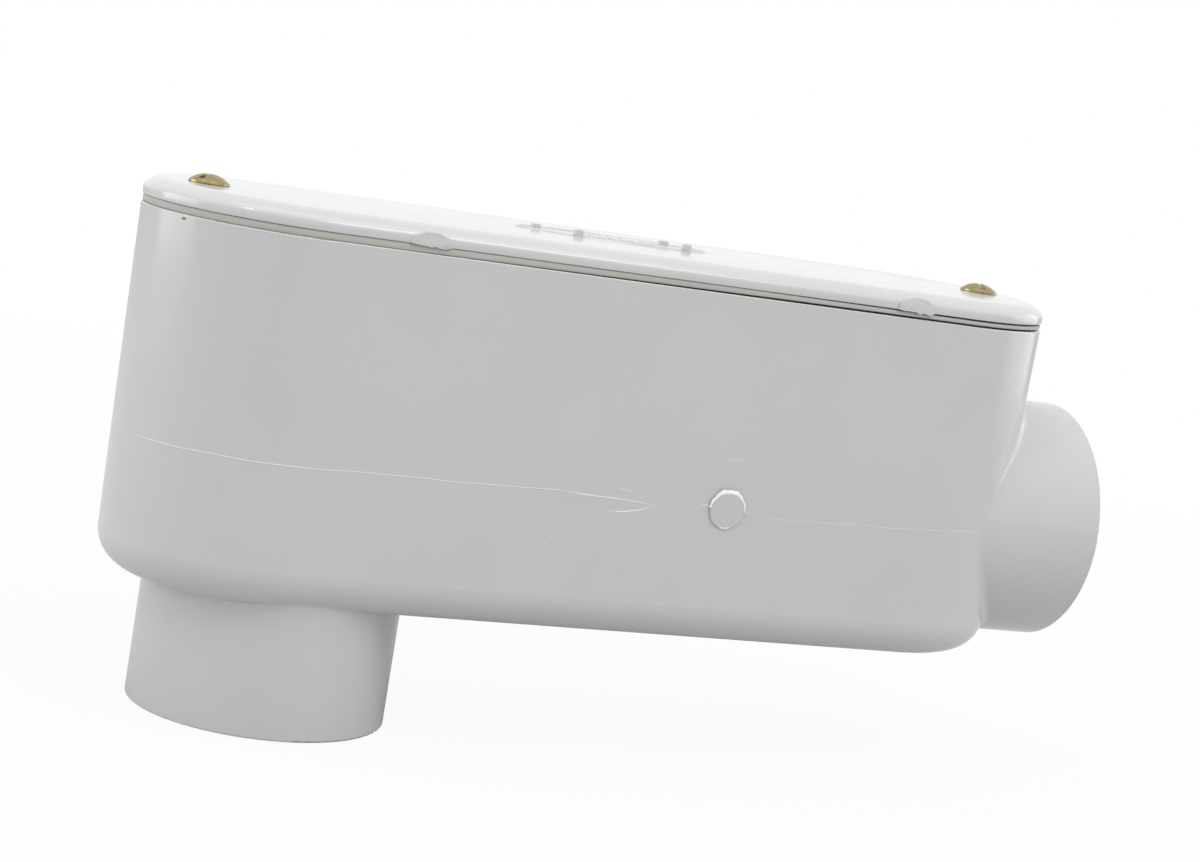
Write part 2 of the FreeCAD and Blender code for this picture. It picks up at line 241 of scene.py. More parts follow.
# %% Moulded PVC
def moulded_pvc(name, light, dark, roughness, cut_places, cut_reach, cut_depth):
    """Rigid PVC from a mould, cut within cut_reach of cut_places and beyond y = -cut_depth."""
    material, tree = new_material(name)
    place = add(tree, "ShaderNodeTexCoord").outputs["Object"]

    # Clouds of tone, 30 mm across.
    clouds = add(tree, "ShaderNodeTexNoise", {"Vector": place}, Scale=1 / (30 * MM), Detail=3.0)
    tone = add(tree, "ShaderNodeMix", {0: clouds.outputs["Fac"]},
               {6: linear(dark), 7: linear(light)}, data_type="RGBA")

    # Burnt grains of 0.22 mm radius, in about half of the cells of a 6 mm lattice.
    grain_radius, cell_width = 0.22, 6.0
    lattice = add(tree, "ShaderNodeTexVoronoi", {"Vector": place}, Scale=1 / (cell_width * MM))
    small = add(tree, "ShaderNodeMath", {0: lattice.outputs["Distance"]},
                {1: grain_radius / cell_width}, operation="LESS_THAN")
    some = add(tree, "ShaderNodeMath", {0: lattice.outputs["Color"]}, {1: 0.55},
               operation="GREATER_THAN")
    grain = add(tree, "ShaderNodeMath", {0: small.outputs[0], 1: some.outputs[0]},
                operation="MULTIPLY")
    share = add(tree, "ShaderNodeMath", {0: grain.outputs[0]}, {1: 0.35}, operation="MULTIPLY")
    speckled = add(tree, "ShaderNodeMix", {0: share.outputs[0], 6: tone.outputs[2]},
                   {7: linear("6a6458")}, data_type="RGBA")

    # The cut faces: past the moulded wall, and close to one of the places.
    beyond = add(tree, "ShaderNodeSeparateXYZ", {"Vector": place})
    past = add(tree, "ShaderNodeMath", {0: beyond.outputs["Y"]}, {1: -cut_depth},
               operation="LESS_THAN")
    distances = [add(tree, "ShaderNodeVectorMath", {0: place}, {1: centre}, operation="DISTANCE")
                 for centre in cut_places]
    nearest = distances[0].outputs["Value"]
    for other in distances[1:]:
        nearest = add(tree, "ShaderNodeMath", {0: nearest, 1: other.outputs["Value"]},
                      operation="MINIMUM").outputs[0]
    close = add(tree, "ShaderNodeMath", {0: nearest}, {1: cut_reach}, operation="LESS_THAN")
    cut = add(tree, "ShaderNodeMath", {0: past.outputs[0], 1: close.outputs[0]},
              operation="MULTIPLY").outputs[0]
    skin = add(tree, "ShaderNodeMix", {0: cut, 6: speckled.outputs[2]},
               {7: linear("b4b5b4")}, data_type="RGBA")

    # Rubbed patches about 12 mm across are a little duller than the rest.
    rubbed = add(tree, "ShaderNodeTexNoise", {"Vector": place}, Scale=1 / (12 * MM), Detail=4.0)
    shine = add(tree, "ShaderNodeMapRange", {0: rubbed.outputs["Fac"]},
                {1: 0.35, 2: 0.75, 3: roughness, 4: roughness + 0.06})
    dull = add(tree, "ShaderNodeMix", {0: cut, 2: shine.outputs[0]}, {3: 0.55},
               data_type="FLOAT")

    # Orange peel of 1.5 mm and sink waves of 45 mm. A diagonal wave comes round every 0.36
    # of its unit, so 3 mm gives scores 1.1 mm apart: the real ones are finer, and are drawn
    # coarser so that they still show.
    peel = add(tree, "ShaderNodeTexNoise", {"Vector": place}, Scale=1 / (1.5 * MM), Detail=2.0)
    waves = add(tree, "ShaderNodeTexNoise", {"Vector": place}, Scale=1 / (45 * MM), Detail=1.0)
    scores = add(tree, "ShaderNodeTexWave", {"Vector": place}, Scale=1 / (3.0 * MM),
                 Distortion=3.0, Detail=2.0, bands_direction="DIAGONAL")
    scored = add(tree, "ShaderNodeMath", {0: scores.outputs["Fac"], 1: cut},
                 operation="MULTIPLY")
    normal = add(tree, "ShaderNodeBump", {"Height": peel.outputs["Fac"]}, Distance=0.0006 * MM)
    normal = add(tree, "ShaderNodeBump",
                 {"Height": waves.outputs["Fac"], "Normal": normal.outputs[0]},
                 Distance=0.025 * MM)
    normal = add(tree, "ShaderNodeBump",
                 {"Height": scored.outputs[0], "Normal": normal.outputs[0]},
                 Distance=0.025 * MM)
    links = {"Base Color": skin.outputs[2], "Roughness": dull.outputs[0],
             "Normal": normal.outputs[0]}
    shader = add(tree, "ShaderNodeBsdfPrincipled", links, IOR=1.53)
    add(tree, "ShaderNodeOutputMaterial", {"Surface": shader.outputs[0]})
    return material


# The stub of the sprue stands on the near wall, level with the end hub's axis. The gate
# tabs stand on the cover's near edge: x, half width and height in millimetres.
end_hub_axis = 71.4 * MM
stub_centre = Vector((middle + 26.5 * MM, -39.0 * MM, end_hub_axis))
gate_tabs = ((14.9, 5.4, 3.4), (154.5, 5.7, 3.8))
tab_centres = [Vector((tab[0] * MM, -rim_radius, cover_base)) for tab in gate_tabs]
body_pvc = moulded_pvc("rigid_pvc_moulded_body", "b7b7b6", "b1b3b3", 0.14,
                       [stub_centre], 5.6 * MM, 39.05 * MM)
cover_pvc = moulded_pvc("rigid_pvc_glossy_cover", "bbbcbb", "b4b5b5", 0.12,
                        tab_centres, 7 * MM, rim_radius + 0.05 * MM)
print("materials", body_pvc.name, cover_pvc.name)

# %% [markdown]
# The gasket is die-cut from soft rubber sheet, so its faces are matt with a fine grain,
# and its warm grey has faint patches from the mixing rolls. It reflects almost nothing
# clearly, which is what sets it off from the plastic above and below.


# %% Rubber sheet
def rubber_sheet(name):
    """Soft sheet rubber with patches of 20 mm and a grain of 0.4 mm."""
    material, tree = new_material(name)
    place = add(tree, "ShaderNodeTexCoord").outputs["Object"]
    grain = add(tree, "ShaderNodeTexNoise", {"Vector": place}, Scale=1 / (0.4 * MM), Detail=2.0)
    patches = add(tree, "ShaderNodeTexNoise", {"Vector": place}, Scale=1 / (20 * MM), Detail=2.0)
    tone = add(tree, "ShaderNodeMix", {0: patches.outputs["Fac"]},
               {6: linear("9f9e98"), 7: linear("abaaa4")}, data_type="RGBA")
    normal = add(tree, "ShaderNodeBump", {"Height": grain.outputs["Fac"]}, Distance=0.03 * MM)
    links = {"Base Color": tone.outputs[2], "Normal": normal.outputs[0]}
    shader = add(tree, "ShaderNodeBsdfPrincipled", links, Roughness=0.75, IOR=1.52)
    add(tree, "ShaderNodeOutputMaterial", {"Surface": shader.outputs[0]})
    return material


gasket_rubber = rubber_sheet("rubber_sheet_gasket")
print("material", gasket_rubber.name)

# %% [markdown]
# Screws and inserts are brass, turned from bar: a yellow metal with fine rings round its
# axis, duller and browner where fingers have been. As metal it shows the white room in its
# own colour, so the stains have to dull the shine as well as darken the tone.


# %% Turned brass
def turned_brass(name, clean, tarnished):
    """Brass bar turned about the piece's own Z axis, with stains of 2.5 mm."""
    material, tree = new_material(name)
    place = add(tree, "ShaderNodeTexCoord").outputs["Object"]

    # A ring wave comes round every 0.31 of its unit, so 1.6 mm gives rings 0.5 mm apart:
    # real tool marks are finer, and are drawn coarser so that they still show.
    rings = add(tree, "ShaderNodeTexWave", {"Vector": place}, Scale=1 / (1.6 * MM),
                Distortion=0.4, wave_type="RINGS", rings_direction="Z")
    stains = add(tree, "ShaderNodeTexNoise", {"Vector": place}, Scale=1 / (2.5 * MM), Detail=3.0)
    tone = add(tree, "ShaderNodeMix", {0: stains.outputs["Fac"]},
               {6: linear(tarnished), 7: linear(clean)}, data_type="RGBA")
    shine = add(tree, "ShaderNodeMapRange", {0: stains.outputs["Fac"]},
                {1: 0.3, 2: 0.7, 3: 0.42, 4: 0.2})
    normal = add(tree, "ShaderNodeBump", {"Height": rings.outputs["Fac"]}, Distance=0.01 * MM)
    links = {"Base Color": tone.outputs[2], "Roughness": shine.outputs[0],
             "Normal": normal.outputs[0]}
    shader = add(tree, "ShaderNodeBsdfPrincipled", links, Metallic=1.0)
    add(tree, "ShaderNodeOutputMaterial", {"Surface": shader.outputs[0]})
    return material


screw_brass = turned_brass("brass_turned_screw", "b9a878", "7b6f50")
insert_brass = turned_brass("brass_knurled_insert", "c2ab6c", "8a7748")
print("materials", screw_brass.name, insert_brass.name)

# %% [markdown]
# Where PVC is pinched by a cutter or squeezed between the halves of the mould, tiny voids
# open in it and it turns whitish and dull. Where resin stayed in the mould too long, it
# burnt to a brown crumb. Both are PVC still, so they keep its IOR and lose its shine.


# %% Whitened and burnt PVC
def stressed_pvc(name, light, dark):
    """PVC that a blade or a tight flow has turned whitish in patches 2 mm long."""
    material, tree = new_material(name)
    place = add(tree, "ShaderNodeTexCoord").outputs["Object"]
    patches = add(tree, "ShaderNodeTexNoise", {"Vector": place}, Scale=1 / (2 * MM), Detail=3.0)
    tone = add(tree, "ShaderNodeMix", {0: patches.outputs["Fac"]},
               {6: linear(dark), 7: linear(light)}, data_type="RGBA")
    shader = add(tree, "ShaderNodeBsdfPrincipled", {"Base Color": tone.outputs[2]},
                 Roughness=0.4, IOR=1.53)
    add(tree, "ShaderNodeOutputMaterial", {"Surface": shader.outputs[0]})
    return material


# On the sprue's upper lip this white is also a painted highlight.
white_pvc = stressed_pvc("pvc_stress_whitened", "efeeea", "d2d2ce")
pale_pvc = stressed_pvc("pvc_parting_line", "d3d3d0", "bcbdbc")

burnt_resin, tree = new_material("pvc_burnt_resin")
place = add(tree, "ShaderNodeTexCoord").outputs["Object"]
crumbs = add(tree, "ShaderNodeTexNoise", {"Vector": place}, Scale=1 / (0.3 * MM))
tone = add(tree, "ShaderNodeMix", {0: crumbs.outputs["Fac"]},
           {6: linear("463c30"), 7: linear("7d7263")}, data_type="RGBA")
shader = add(tree, "ShaderNodeBsdfPrincipled", {"Base Color": tone.outputs[2]},
             Roughness=0.5, IOR=1.53)
add(tree, "ShaderNodeOutputMaterial", {"Surface": shader.outputs[0]})
print("materials", white_pvc.name, pale_pvc.name, burnt_resin.name)

# %% [markdown]
# The housing and the inserts are shown as the solids have them, so all they need is their
# finish. The gasket, the cover and the screws are shown by richer meshes further on, but
# their solids get the same finishes, so that either model can be used on its own.

# %% Finishes on the solids
finishes = {
    "body": body_pvc,
    "cover": cover_pvc,
    "gasket": gasket_rubber,
    "cover_screw_back": screw_brass,
    "cover_screw_front": screw_brass,
    "screw_insert_back": insert_brass,
    "screw_insert_front": insert_brass,
}
for node, finish in finishes.items():
    nodes[node].data.materials.clear()
    nodes[node].data.materials.append(finish)
print("finished nodes", sorted(finishes))

# %% [markdown]
# Every added piece is a mesh built in code, so three helpers serve them all. `mesh_piece`
# turns lists of points and faces into an object with its finish, its body and its slot.
# `obround` walks once round the plan that housing, gasket and cover share and gives each
# point with the direction that faces outwards there. `skin_rows` joins equal rows of
# points with faces, as a lofted skin. Primitives with modifiers would be quicker to place,
# but these forms taper, bulge and bend round the ends, which rows of points do exactly.

# %% Mesh helpers
sharp_edge = math.radians(40)
plan_step = 1.5 * MM


def mesh_piece(name, points, faces, material, body):
    """A smooth mesh object that rides on a body and takes its finish from a slot."""
    mesh = bpy.data.meshes.new(name)
    mesh.from_pydata([tuple(point) for point in points], [], faces)
    mesh.materials.append(material)
    mesh.polygons.foreach_set("use_smooth", [True] * len(mesh.polygons))
    tidy = bmesh.new()
    tidy.from_mesh(mesh)
    bmesh.ops.recalc_face_normals(tidy, faces=tidy.faces)
    tidy.to_mesh(mesh)
    tidy.free()
    mesh.set_sharp_from_angle(angle=sharp_edge)
    piece = bpy.data.objects.new(name, mesh)
    bpy.context.scene.collection.objects.link(piece)
    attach(piece, body)
    return piece


def obround(radius, step):
    """Points round the obround plan of that end radius, each with its outward direction."""
    turns = round(math.pi * radius / step)
    runs = round((front_centre - back_centre) / step)
    walk = []
    for centre_x, start in ((front_centre, -math.pi / 2), (back_centre, math.pi / 2)):
        for turn in range(turns + 1):
            angle = start + math.pi * turn / turns
            out = Vector((math.cos(angle), math.sin(angle), 0))
            walk.append((Vector((centre_x, 0, 0)) + out * radius, out))
        end = walk[-1][0]
        along = (back_centre - front_centre) * (1 if start < 0 else -1)
        for run in range(1, runs):
            walk.append((end + Vector((along * run / runs, 0, 0)), out))
    return walk


def skin_rows(rows, closed, first=0):
    """Quads between rows of equally many points, numbered on from first."""
    count = len(rows[0])
    faces = []
    for row in range(len(rows) - 1):
        for step in range(count if closed else count - 1):
            one = first + row * count + step
            two = first + row * count + (step + 1) % count
            faces.append((one, two, two + count, one + count))
    return faces


print("points round the rim", len(obround(rim_radius, plan_step)))

# %% [markdown]
# Gasket and cover are both plates with the same plan: an obround, a hole for each screw,
# and a window that leaves a round pad under each screw. A boolean could cut these, but it
# leaves long thin faces that shade badly, so the outline, the holes and the window are
# walked as closed loops, skinned upwards, and their flat faces are filled between them.

# %% Plates with holes and a window
hole_radius = 3 * MM
pad_radius = 8 * MM
wall_thickness = 4 * MM


def circle(centre_x, radius, count, start=0.0, sweep=2 * math.pi):
    """Points on a circle or an arc round a point of the plan's long axis."""
    steps = count if sweep >= 2 * math.pi else count - 1
    angles = [start + sweep * step / steps for step in range(count)]
    return [Vector((centre_x + radius * math.cos(a), radius * math.sin(a), 0)) for a in angles]


def window_loop(radius, pad):
    """The window's edge: the obround of that radius, nibbled by the two pads."""
    corner = math.asin(pad / radius)
    quarter = math.pi / 2
    loop = []
    for centre_x, screw_x, turn in ((front_centre, front_screw, 0.0),
                                    (back_centre, back_screw, math.pi)):
        loop += circle(centre_x, radius, 24, turn - quarter, quarter - corner)
        loop += circle(screw_x, pad, 20, turn - quarter, -math.pi)
        loop += circle(centre_x, radius, 24, turn + corner, quarter - corner)
    return loop


def fill(loops, numbers):
    """Triangles over a flat outline with holes, as numbers of the piece's points."""
    flat = [number for loop in numbers for number in loop]
    return [tuple(flat[corner] for corner in triangle) for triangle in tessellate_polygon(loops)]


def plate(name, rows, window, window_top, material, body):
    """A plate from its edge rows, with both screw holes and a window up to window_top."""
    points = [point for row in rows for point in row]
    faces = skin_rows(rows, True)
    low, high = rows[0][0].z, rows[-1][0].z
    through = window_top > high - 0.01 * MM
    lower_loops, upper_loops = [rows[0]], [rows[-1]]
    lower_numbers = [list(range(len(rows[0])))]
    upper_numbers = [list(range(len(points) - len(rows[0]), len(points)))]
    holes = [circle(screw_x, hole_radius, 32) for screw_x in (back_screw, front_screw)]
    for hole in (*holes, window):
        top = window_top if hole is window else high
        walls = [[p + Vector((0, 0, level)) for p in hole] for level in (low, top)]
        first, count = len(points), len(hole)
        numbers = [list(range(first, first + count)),
                   list(range(first + count, first + 2 * count))]
        faces += skin_rows(walls, True, first)
        points += walls[0] + walls[1]
        lower_loops.append(walls[0])
        lower_numbers.append(numbers[0])
        if hole is window and not through:
            faces += fill([walls[1]], [numbers[1]])
        else:
            upper_loops.append(walls[1])
            upper_numbers.append(numbers[1])
    faces += fill(lower_loops, lower_numbers) + fill(upper_loops, upper_numbers)
    return mesh_piece(name, points, faces, material, body)


print("points round the window", len(window_loop(rim_radius - wall_thickness, pad_radius)))

# %% [markdown]
# The gasket is a flat ring with a pad under each screw. Pressed between the rim and the
# cover, its cut edge bulges a little and its corners stay back. Towards the front end,
# where the cover bows up, a thin dark gap opens above and below it. The edge is a row of
# insets and gaps, and each gap is scaled by how far it is open at that point of the plan.


# %% Gasket with a soft edge
def gap_below(point):
    """How far the gap under the gasket is open: from x = 10 mm on, wholly 110 mm further."""
    return min(max((point.x - 10 * MM) / (110 * MM), 0.0), 1.0)


def gap_above(point):
    """How far the gap over the gasket is open: from x = 105 mm on, wholly 70 mm further."""
    return min(max((point.x - 105 * MM) / (70 * MM), 0.0), 1.0)


# Inset from the edge, gap where it is shut and gap where it is open, in millimetres.
edge_rows = [(3.4, 0.0, 0.0), (2.4, 0.0, 0.4), (0.5, 0.0, 0.46),
             (0.16, 0.12, 0.52), (0.02, 0.4, 0.68), (0.0, 0.8, 0.9)]
gasket_inset = 0.25 * MM
outline = obround(rim_radius - gasket_inset, plan_step)
lower = []
upper = []
for inset, shut, open_gap in edge_rows:
    edge = [p - out * inset * MM for p, out in outline]
    rises = [shut + (open_gap - shut) * gap_below(p) for p, out in outline]
    falls = [shut + (open_gap - shut) * gap_above(p) for p, out in outline]
    lower.append([p + Vector((0, 0, rim_height + rise * MM)) for p, rise in zip(edge, rises)])
    upper.append([p + Vector((0, 0, cover_base - fall * MM)) for p, fall in zip(edge, falls)])
window = window_loop(rim_radius - wall_thickness, pad_radius)
gasket = plate("gasket_soft_edge", lower + upper[::-1], window, cover_base,
               gasket_rubber, "housing")
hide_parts("gasket")
print("gasket faces", len(gasket.data.polygons),
      "thickness mm", round((cover_base - rim_height) / MM, 2))

# %% [markdown]
# The cover is moulded with an edge that rolls over: upright for 2 mm, then a convex shoulder
# that catches the light, then a slope that eases into the flat top. A bevel modifier gives
# only a round of one radius, so one row of the outline is laid for each point of the
# profile. Underneath are the land that presses on the gasket and a shallow hollow.

# %% Cover with a rolled edge
rolled_edge = [
    (0.3, 0.0), (0.06, 0.08), (0.0, 0.3), (0.0, 1.0), (0.0, 1.6), (0.05, 2.0),
    (0.2, 2.4), (0.48, 2.8), (0.9, 3.2), (1.4, 3.62), (1.95, 4.0), (2.6, 4.36),
    (3.3, 4.65), (4.1, 4.85), (5.0, 4.96), (6.0, 5.0),
]
outline = obround(rim_radius, plan_step)
rows = [[p - out * inset * MM + Vector((0, 0, cover_base + height * MM)) for p, out in outline]
        for inset, height in rolled_edge]
land_width = 8 * MM
hollow_depth = 1.8 * MM
window = window_loop(rim_radius - land_width, pad_radius)
cover = plate("cover_rolled_edge", rows, window, cover_base + hollow_depth,
              cover_pvc, "cover")
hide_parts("cover")
print("cover faces", len(cover.data.polygons))

# %% [markdown]
# Two ribs hang from the cover's underside and find the housing's long walls, so that the
# cover can't be put on askew. Each follows a part of the same plan, which bends a little
# round the ends, so it is a loft along the plan and not a straight bar.

# %% Locating ribs under the cover
rib_inset = 29.7 * MM
rib_profile = [(0.0, 0.0), (0.0, -3.8), (0.2, -4.0), (1.6, -4.0), (1.8, -3.8), (1.8, 0.0)]
for side, name in ((-1, "near"), (1, "far")):
    course = [(p, out) for p, out in obround(rim_radius - 4.7 * MM, plan_step)
              if p.y * side > 0 and back_end + rib_inset < p.x < front_end - rib_inset]
    course.sort(key=lambda place: place[0].x)
    rows = [[p - out * inset * MM + Vector((0, 0, cover_base + drop * MM)) for p, out in course]
            for inset, drop in rib_profile]
    points = [point for row in rows for point in row]
    length = len(course)
    ends = [tuple(row * length for row in range(6)),
            tuple((row + 1) * length - 1 for row in range(6))]
    mesh_piece("cover_rib_" + name, points, skin_rows(rows, False) + ends,
               cover_pvc, "cover")
print("points along a rib", length)

# %% [markdown]
# Two runners fed the cover from its near edge. Each was snapped and trimmed by hand, which
# left a half-round tab with a scored face and an uneven outline. A half cylinder would be
# too clean, so the outline is drawn point by point with a little noise, sags where the
# blade came out, and is swept back into the cover.

# %% Gate tabs
tab_layers = ((-0.5, 0.93, -1.2), (-0.36, 0.99, -1.2), (-0.04, 1.0, -1.2),
              (0.0, 1.0, 0.0), (4.0, 1.0, 0.0))
for number, (x, half_width, height) in enumerate(gate_tabs):
    rim = []
    for step in range(41):
        angle = math.pi * step / 40
        uneven = 1 + 0.05 * noise.noise(Vector((3.1 * number, 4 * angle, 0.5)))
        across = half_width * math.copysign(abs(math.cos(angle)) ** 0.88, math.cos(angle))
        up = height * max(math.sin(angle), 0.0) ** 0.85
        rim.append(Vector((x + across * uneven, 0, up * uneven)))
    for step in range(9):
        along = x - half_width + 2 * half_width * (step + 1) / 10
        ragged = 0.5 * noise.noise(Vector((step * 0.7, number, 2.0)))
        rim.append(Vector((along, 0, -0.1 - 0.06 * step + ragged)))
    middle_of_tab = Vector((x, 0, height * 0.4))
    rows = []
    for depth, shrink, lowest in tab_layers:
        shaped = [middle_of_tab + (p - middle_of_tab) * shrink for p in rim]
        rows.append([Vector((p.x * MM, -rim_radius + depth * MM,
                             cover_base + max(p.z, lowest) * MM)) for p in shaped])
    points = [point for row in rows for point in row]
    mesh_piece(f"gate_tab_{number}", points, skin_rows(rows, True) + [tuple(range(len(rim)))],
               cover_pvc, "cover")
print("gate tabs", len(gate_tabs))

# %% [markdown]
# Four ejector pips stand on the cover's top, where the mould's pins sat in shallow holes.
# No two are quite alike in height, and each has a soft upper edge, so each is turned from
# a short profile.

# %% Ejector pips
pips = ((58.8, 3.2, 1.5), (68.4, -4.2, 2.0), (98.0, 5.6, 1.6), (101.3, -2.8, 2.0))
pip_steps = 32
pip_angles = [math.pi * 2 * turn / pip_steps for turn in range(pip_steps)]
for number, (x, y, tall) in enumerate(pips):
    profile = [(1.4, -0.1), (1.4, tall - 0.6), (1.35, tall - 0.2), (1.15, tall - 0.05), (0.9, tall)]
    rows = [[Vector(((x + r * math.cos(a)) * MM, (y + r * math.sin(a)) * MM, cover_top + z * MM))
             for a in pip_angles] for r, z in profile]
    points = [point for row in rows for point in row]
    top = tuple(range(len(points) - pip_steps, len(points)))
    mesh_piece(f"ejector_pip_{number}", points, skin_rows(rows, True) + [top],
               cover_pvc, "cover")
print("pips", len(pips))

# %% [markdown]
# The cover screws are slotted machine screws: a low domed head, a slot milled across it and
# a rolled thread. Head and shank are rows of points about the axis. A screw modifier could
# make the thread, but here each row moves in and out once per pitch as it goes round, which
# is a true helix and runs out smoothly at the tip and under the head.


# %% Rows of a screw
def head_rows(head_radius, flank, height, count):
    """Rows of the domed head from its seat up to the dome's middle."""
    dome = (head_radius ** 2 + (height - flank) ** 2) / (2 * (height - flank))
    profile = [(head_radius - 0.15 * MM, 0.0), (head_radius, 0.15 * MM),
               (head_radius, flank - 0.2 * MM), (head_radius - 0.08 * MM, flank)]
    for part in range(1, 9):
        radius = head_radius * math.cos(part / 9 * math.pi / 2)
        profile.append((radius, height - dome + math.sqrt(dome ** 2 - radius ** 2)))
    angles = [2 * math.pi * turn / count for turn in range(count)]
    return [[Vector((r * math.cos(a), r * math.sin(a), z)) for a in angles] for r, z in profile]


def thread_rows(radius, length, pitch, depth, count):
    """Rows of the threaded shank from the tip up to the head, eight for each pitch."""
    rows = []
    steps = round(8 * length / pitch)
    for step in range(steps + 1):
        z = -length + length * step / steps
        blend = min(1.0, (z + length) / (2 * pitch), max(0.0, -z - 1.2 * pitch) / pitch)
        row = []
        for turn in range(count):
            phase = (z / pitch - turn / count) % 1.0
            ridge = abs(2 * phase - 1)
            tip = max(0.0, 0.8 * MM - (z + length))
            reach = radius - tip - depth * (1 - ridge) * max(0.0, blend)
            angle = 2 * math.pi * turn / count
            row.append(Vector((reach * math.cos(angle), reach * math.sin(angle), z)))
        rows.append(row)
    return rows


round_steps = 48
head_radius, head_flank, head_height = 5.3 * MM, 0.45 * MM, 2.5 * MM
shank_radius, shank_length = 2.7 * MM, 19 * MM
thread_pitch, thread_depth = 1.06 * MM, 0.4 * MM
head = head_rows(head_radius, head_flank, head_height, round_steps)
thread = thread_rows(shank_radius, shank_length, thread_pitch, thread_depth, round_steps)
print("head rows", len(head), "thread rows", len(thread))

# %% [markdown]
# Each screw is made at its own seat. The slot is cut first, by a boolean with a long block,
# and a bevel then breaks its edges, as the blade of a screwdriver does. The thread joins
# after that, so that the boolean has only the simple head to work on. The two screws stop
# where their threads bind, so their slots point different ways.

# %% Cover screws
# The block's size, and its middle's height, which puts the slot's floor 1.25 mm over the seat.
slot_block = (14 * MM, 1.4 * MM, 3.2 * MM)
slot_block_middle = 2.85 * MM
broken_edge = 0.14 * MM


def cover_screw(name, node, body, screw_x, slot_angle):
    """One slotted screw on the cover, its slot turned by slot_angle degrees."""
    points = [point for row in head for point in row]
    caps = [tuple(range(round_steps)), tuple(range(len(points) - round_steps, len(points)))]
    screw = mesh_piece(name, points, skin_rows(head, True) + caps, screw_brass, body)
    cutter_mesh = bpy.data.meshes.new("slot_cutter")
    cutter = bmesh.new()
    bmesh.ops.create_cube(cutter, size=1.0)
    bmesh.ops.scale(cutter, verts=cutter.verts, vec=slot_block)
    bmesh.ops.translate(cutter, verts=cutter.verts, vec=(0, 0, slot_block_middle))
    turned = Matrix.Rotation(math.radians(slot_angle), 3, "Z")
    bmesh.ops.rotate(cutter, verts=cutter.verts, matrix=turned)
    cutter.to_mesh(cutter_mesh)
    cutter.free()
    knife = bpy.data.objects.new("slot_cutter", cutter_mesh)
    bpy.context.scene.collection.objects.link(knife)
    slot = screw.modifiers.new("slot", "BOOLEAN")
    slot.operation, slot.object, slot.solver = "DIFFERENCE", knife, "EXACT"
    edges = screw.modifiers.new("broken_edges", "BEVEL")
    edges.width, edges.segments = broken_edge, 2
    edges.limit_method, edges.angle_limit = "ANGLE", math.radians(50)
    bpy.context.view_layer.update()
    shaped = screw.evaluated_get(bpy.context.evaluated_depsgraph_get())
    slotted_head = bpy.data.meshes.new_from_object(shaped)
    screw.modifiers.clear()
    bpy.data.objects.remove(knife)

    whole = bmesh.new()
    whole.from_mesh(slotted_head)
    made = [[whole.verts.new(point) for point in row] for row in thread]
    for lower, upper in zip(made, made[1:]):
        for turn in range(round_steps):
            after = (turn + 1) % round_steps
            whole.faces.new((lower[turn], lower[after], upper[after], upper[turn]))
    whole.faces.new(made[0][::-1])
    for face in whole.faces:
        face.smooth = True
    whole.to_mesh(screw.data)
    whole.free()
    screw.data.set_sharp_from_angle(angle=sharp_edge)
    screw.location = (screw_x, 0, cover_top)
    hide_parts(node)
    print(name, "faces", len(screw.data.polygons))


cover_screw("screw_back_threaded", "cover_screw_back", "screw_back", back_screw, 44.0)
cover_screw("screw_front_threaded", "cover_screw_front", "screw_front", front_screw, 74.0)

# %% [markdown]
# Where the two halves of the mould met, a hair of plastic runs along the side wall at the
# height of the end hub's axis. The melt came in at the round stub, and two fronts that met
# before the mould was full left a pair of faint V lines beside the parting line. A bump
# map would do from far off, but these catch the light along their tops, so each is a thin
# ridge that follows the drafted wall, tapered to nothing at its ends.

# %% Ridges that follow the wall
wall_draft = math.radians(0.5)
seam = 71.8
stub_x = stub_centre.x / MM
flat_end = front_centre / MM


def on_wall(along, height, proud):
    """Point on the near wall: along is x on the flat and goes on round the ends."""
    half = rim_radius - math.tan(wall_draft) * (rim_height - height) + proud
    if back_centre <= along <= front_centre:
        return Vector((along, -half, height))
    centre_x = back_centre if along < back_centre else front_centre
    angle = (along - centre_x) / half
    return Vector((centre_x + half * math.sin(angle), -half * math.cos(angle), height))


def wall_ridge(name, course, width, rise, material):
    """A low ridge along (along, height) stations in millimetres."""
    stations = []
    for (x0, z0), (x1, z1) in zip(course, course[1:]):
        steps = max(2, round(abs(x1 - x0) / 1.0))
        stations += [(x0 + (x1 - x0) * step / steps, z0 + (z1 - z0) * step / steps)
                     for step in range(steps)]
    stations.append(course[-1])
    rows = []
    for number, (x, z) in enumerate(stations):
        taper = min(1.0, (number + 0.3) / 6, (len(stations) - 0.7 - number) / 6)
        sway = 0.12 * math.sin(x / 7.0) + 0.07 * math.sin(x / 2.9)
        profile = [(-width / 2, -0.06), (-width / 5, rise * taper),
                   (width / 5, rise * taper), (width / 2, -0.06)]
        rows.append([on_wall(x * MM, (z + sway + dz * max(taper, 0.3)) * MM, dy * MM)
                     for dz, dy in profile])
    points = [point for row in rows for point in row]
    ends = [(3, 2, 1, 0), tuple(len(points) - 4 + corner for corner in range(4))]
    mesh_piece(name, points, skin_rows(rows, False) + ends, material, "housing")


